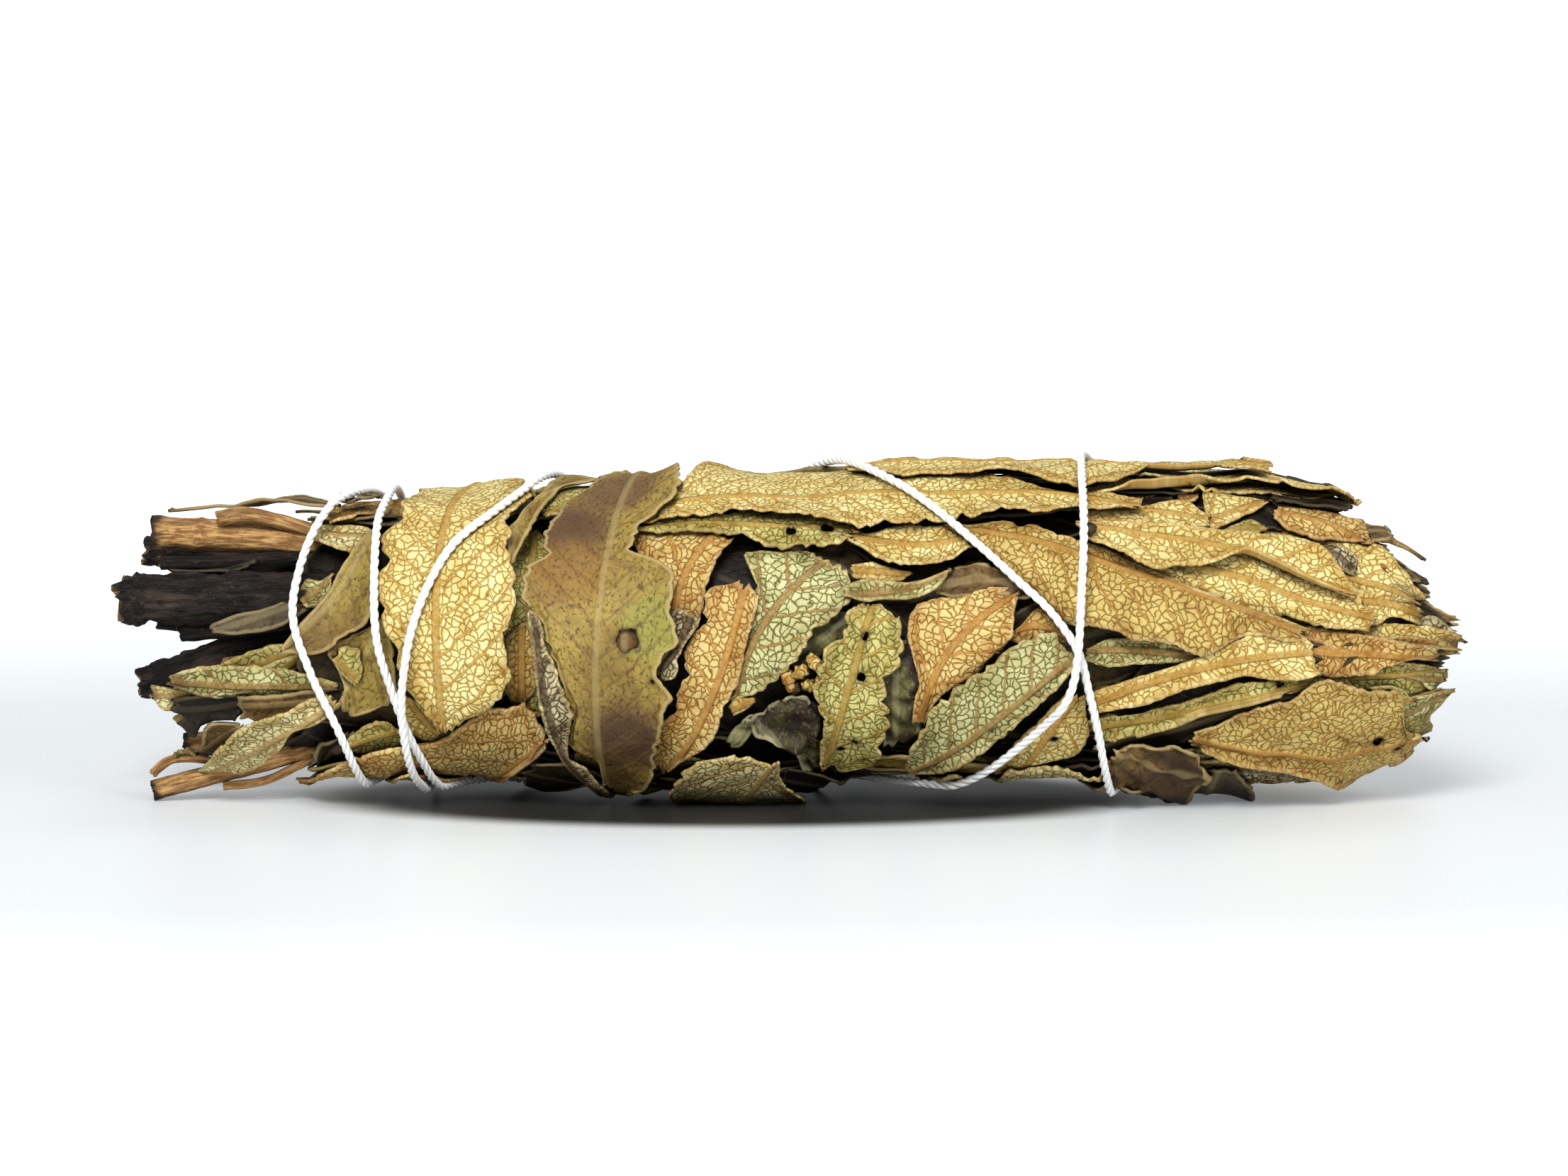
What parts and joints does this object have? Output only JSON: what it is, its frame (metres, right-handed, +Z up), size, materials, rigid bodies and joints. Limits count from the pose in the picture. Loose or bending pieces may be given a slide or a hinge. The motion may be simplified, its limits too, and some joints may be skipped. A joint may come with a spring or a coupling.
{
  "type": "yerba santa smudge stick",
  "caption": "Lying bundle of dried leafy yerba santa stems, wrapped in its own netted leaves and bound with thin white cotton string.",
  "frame": {"origin": "Middle of the bundle's footprint, on the surface that it lies on.", "axes": "+X along the bundle from the cut stems to the leaf tips, +Z up, -Y towards the side that the picture shows."},
  "size_m": [0.1188, 0.035, 0.0322],
  "materials": {
    "net_golden": "dried leaf, netted underside, golden tan",
    "net_yellow_green": "dried leaf, netted underside, yellow green",
    "net_orange_tan": "dried leaf, netted underside, orange tan",
    "net_pale_green": "dried leaf, netted underside, pale green",
    "smooth_olive": "dried leaf, smooth resinous upper side, olive brown",
    "bark_dark": "fissured dark bark",
    "stem_tan": "dry tan stem",
    "cotton_string": "white twisted cotton"
  },
  "bodies": {
    "root": {"leaf_front_01": "net_golden", "leaf_front_02": "smooth_olive", "leaf_front_03": "smooth_olive", "leaf_front_04": "net_orange_tan", "leaf_front_05": "net_yellow_green", "leaf_front_06": "smooth_olive", "leaf_front_07": "smooth_olive", "leaf_front_08": "net_pale_green", "leaf_front_09": "net_orange_tan", "leaf_front_10": "net_orange_tan", "leaf_front_11": "net_pale_green", "leaf_front_12": "net_yellow_green", "leaf_front_13": "net_orange_tan", "leaf_front_14": "net_pale_green", "leaf_front_15": "net_golden", "leaf_front_16": "net_pale_green", "leaf_front_17": "smooth_olive", "leaf_front_18": "net_golden", "leaf_front_19": "net_yellow_green", "leaf_front_20": "net_golden", "leaf_front_21": "net_pale_green", "leaf_front_22": "net_golden", "leaf_front_23": "net_golden", "leaf_front_24": "net_orange_tan", "leaf_front_25": "net_golden", "leaf_front_26": "net_yellow_green", "leaf_front_27": "net_pale_green", "leaf_front_28": "net_golden", "leaf_front_29": "net_golden", "leaf_front_30": "net_golden", "leaf_front_31": "net_golden", "leaf_front_32": "net_pale_green", "leaf_under_01": "net_yellow_green", "leaf_under_02": "smooth_olive", "leaf_under_03": "net_golden", "leaf_under_04": "net_orange_tan", "leaf_back_01": "net_yellow_green", "leaf_back_02": "smooth_olive", "leaf_back_03": "net_golden", "leaf_back_04": "net_orange_tan", "leaf_back_05": "net_pale_green", "leaf_back_06": "net_golden", "leaf_back_07": "net_orange_tan", "leaf_back_08": "net_yellow_green", "leaf_back_09": "smooth_olive", "leaf_back_10": "net_golden", "leaf_back_11": "net_pale_green", "leaf_back_12": "net_golden", "leaf_back_13": "net_yellow_green", "leaf_back_14": "net_orange_tan", "leaf_back_15": "net_golden", "stem_a": "stem_tan", "stem_b": "bark_dark", "stem_c": "bark_dark", "stem_d": "stem_tan", "stem_e": "stem_tan", "stem_f": "bark_dark", "stem_g": "stem_tan", "stem_h": "bark_dark", "string": "cotton_string"}
  },
  "joints": []
}
